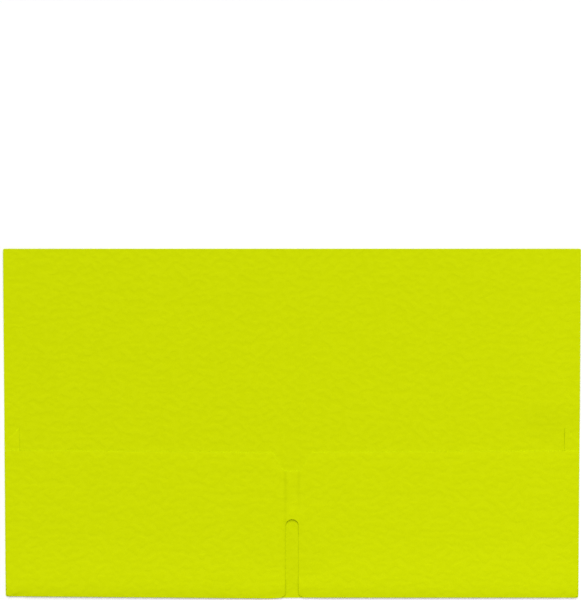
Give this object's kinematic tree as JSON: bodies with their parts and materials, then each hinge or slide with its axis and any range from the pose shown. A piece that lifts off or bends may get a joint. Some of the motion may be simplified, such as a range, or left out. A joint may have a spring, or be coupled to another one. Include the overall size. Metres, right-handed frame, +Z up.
{
  "type": "pocket folder",
  "caption": "Letter-size paper pocket folder that folds shut along a double-scored spine, with a pocket along the bottom of each cover.",
  "frame": {"origin": "on the surface the folder lies on, under the middle of the open folder's outline, at mid height between the bottom fold and the top edge", "axes": "+X across the open folder, from the front cover on the left to the back cover on the right; +Y up the pages, from the pockets' folded bottom edge to the top edge; +Z up from the table, out of the folder's inside"},
  "size_m": [0.4914, 0.2986, 0.0021],
  "materials": {
    "back_cover": "embossed matte",
    "front_cover": "embossed matte",
    "spine_band": "embossed matte",
    "pocket_bridge": "embossed matte",
    "right_pocket": "embossed matte",
    "left_pocket": "embossed matte",
    "right_bottom_fold": "embossed matte",
    "left_bottom_fold": "embossed matte",
    "right_side_fold": "embossed matte",
    "left_side_fold": "embossed matte",
    "right_glue_tab": "embossed matte",
    "left_glue_tab": "embossed matte",
    "right_glue_line": "dried glue",
    "left_glue_line": "dried glue"
  },
  "bodies": {
    "back": {"back_cover": "back_cover", "right_bottom_fold": "right_bottom_fold", "right_side_fold": "right_side_fold", "right_glue_tab": "right_glue_tab", "right_glue_line": "right_glue_line"},
    "spine": {"spine_band": "spine_band", "pocket_bridge": "pocket_bridge"},
    "front": {"front_cover": "front_cover", "left_bottom_fold": "left_bottom_fold", "left_side_fold": "left_side_fold", "left_glue_tab": "left_glue_tab", "left_glue_line": "left_glue_line"},
    "right_pocket_front": {"right_pocket": "right_pocket"},
    "left_pocket_front": {"left_pocket": "left_pocket"}
  },
  "joints": [
    {"name": "spine_fold", "type": "hinge", "parent": "back", "child": "spine", "pos_m": [0.0057, 0, 0.00035], "axis": [0, 1, 0], "range_deg": [0, 90]},
    {"name": "cover_fold", "type": "hinge", "parent": "spine", "child": "front", "pos_m": [-0.0057, 0, 0.00035], "axis": [0, 1, 0], "range_deg": [0, 90]},
    {"name": "right_pocket_mouth", "type": "hinge", "parent": "back", "child": "right_pocket_front", "pos_m": [0.1249, -0.14822, 0.00103], "axis": [1, 0, 0], "range_deg": [0, 1.7], "stiffness_Nm_per_rad": 0.3, "springref_deg": -1.72},
    {"name": "left_pocket_mouth", "type": "hinge", "parent": "front", "child": "left_pocket_front", "pos_m": [-0.1249, -0.14822, 0.00103], "axis": [1, 0, 0], "range_deg": [0, 1.7], "stiffness_Nm_per_rad": 0.3, "springref_deg": -1.72}
  ]
}
